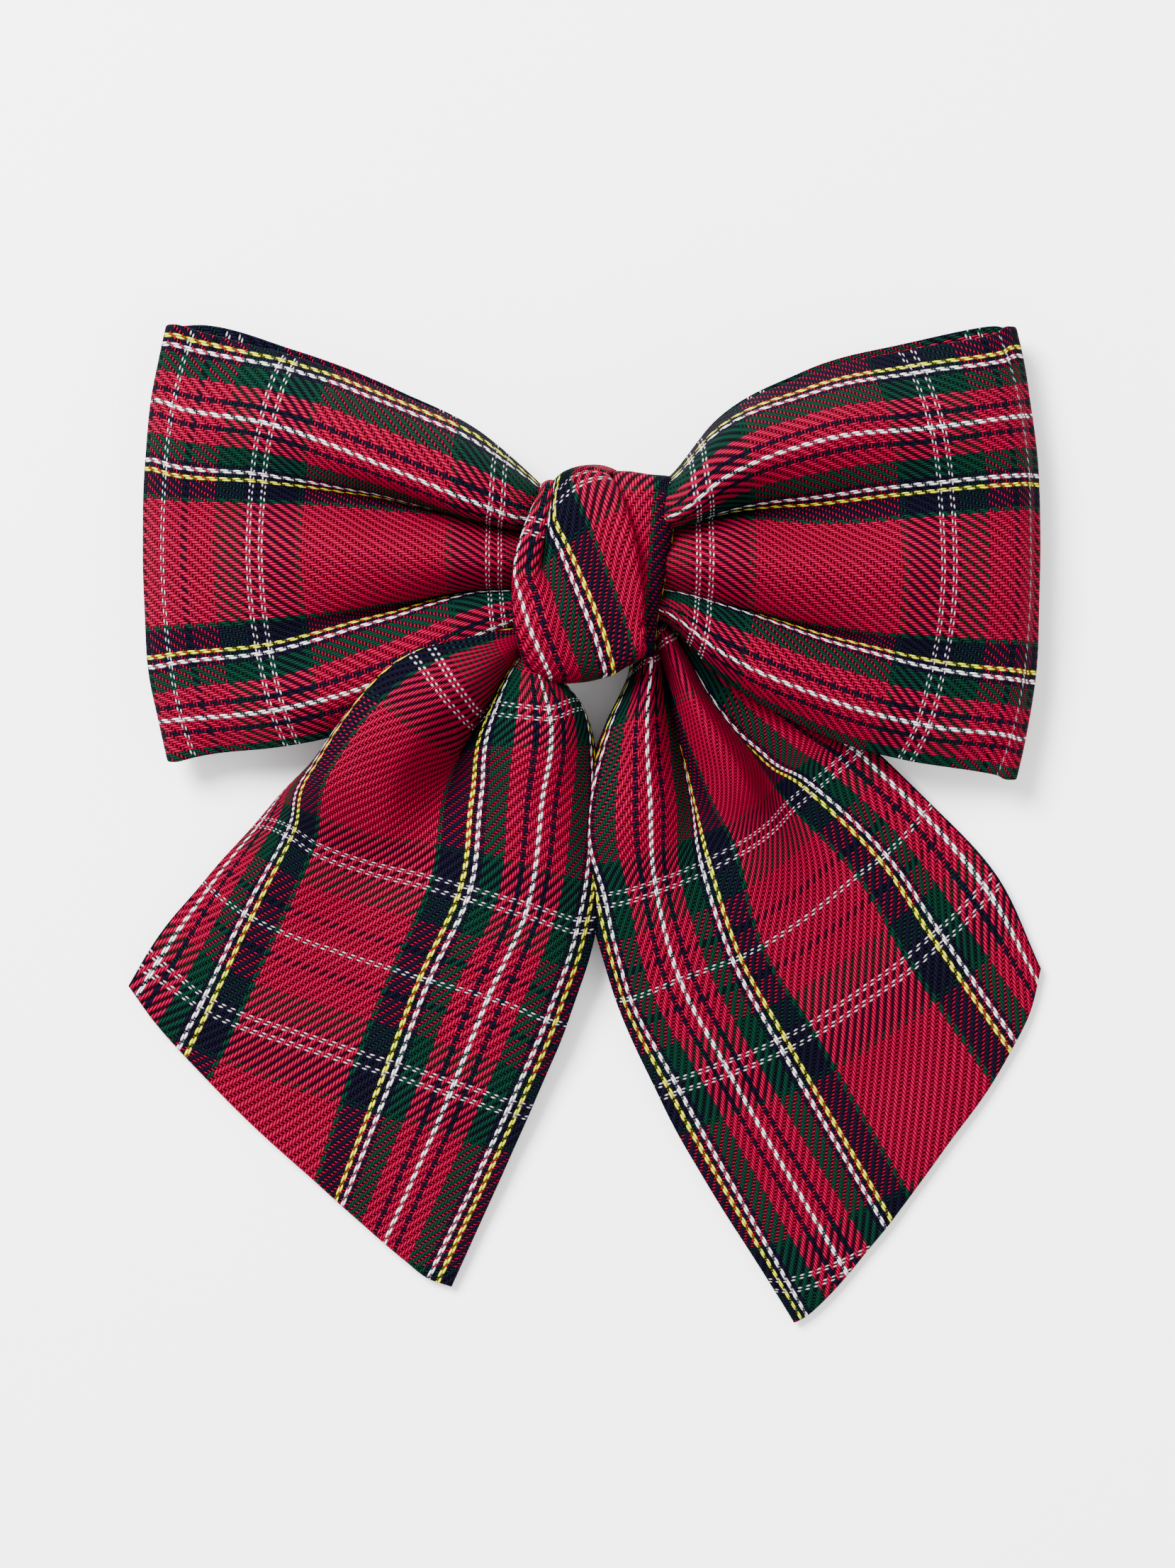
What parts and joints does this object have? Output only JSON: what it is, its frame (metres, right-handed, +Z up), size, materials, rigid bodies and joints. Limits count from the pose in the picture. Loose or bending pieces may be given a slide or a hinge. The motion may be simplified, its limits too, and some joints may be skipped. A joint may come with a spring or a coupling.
{
  "type": "hair bow",
  "caption": "Tartan twill hair bow with two puffed loops, two pointed tails and a wrapped knot, stitched to a French barrette clip.",
  "frame": {"origin": "middle of the clasp arm's flat underside, which is what the bow lies on", "axes": "+Z up out of the front of the knot, +X along the barrette towards its hinge, the tails point to -Y"},
  "size_m": [0.1559, 0.169, 0.0258],
  "materials": {
    "tartan": "brushed 2/2 twill, woven in red, navy, green, white and yellow checks",
    "thread": "twisted sewing thread",
    "plated_steel": "nickel-plated pressed steel",
    "spring_steel": "satin spring strip"
  },
  "bodies": {
    "bow": {"left_loop": "tartan", "right_loop": "tartan", "knot_wrap": "tartan", "gather_thread": "thread", "clip_stitch_1": "thread", "clip_stitch_2": "thread", "clip_stitch_3": "thread", "clip_stitch_4": "thread", "clip_stitch_5": "thread", "clip_stitch_6": "thread", "base_plate": "plated_steel", "hinge_pin": "plated_steel", "catch_bracket": "plated_steel", "catch_rivet": "plated_steel", "bow_rivet": "plated_steel", "tension_bow": "spring_steel"},
    "clasp": {"clasp_arm": "plated_steel"},
    "upper_prong": {"catch_prong_upper": "spring_steel"},
    "lower_prong": {"catch_prong_lower": "spring_steel"},
    "tail_left": {"left_tail": "tartan"},
    "tail_right": {"right_tail": "tartan"}
  },
  "joints": [
    {"name": "clasp_hinge", "type": "hinge", "parent": "bow", "child": "clasp", "pos_m": [0.0326, 0, 0.0019], "axis": [0, -1, 0], "range_deg": [0, 75]},
    {"name": "catch_squeeze", "type": "hinge", "parent": "bow", "child": "upper_prong", "pos_m": [-0.0275, 0.00145, 0.0042], "axis": [1, 0, 0], "range_deg": [-10, 0]},
    {"name": "catch_squeeze_lower", "type": "hinge", "parent": "bow", "child": "lower_prong", "pos_m": [-0.0275, -0.00145, 0.0042], "axis": [1, 0, 0], "range_deg": [0, 10]},
    {"name": "left_tail_swing", "type": "hinge", "parent": "bow", "child": "tail_left", "pos_m": [-0.013, -0.0125, 0.018], "axis": [0, 0, -1], "range_deg": [0, 6]},
    {"name": "right_tail_swing", "type": "hinge", "parent": "bow", "child": "tail_right", "pos_m": [0.0118, -0.0125, 0.0109], "axis": [0, 0, 1], "range_deg": [0, 6]}
  ]
}
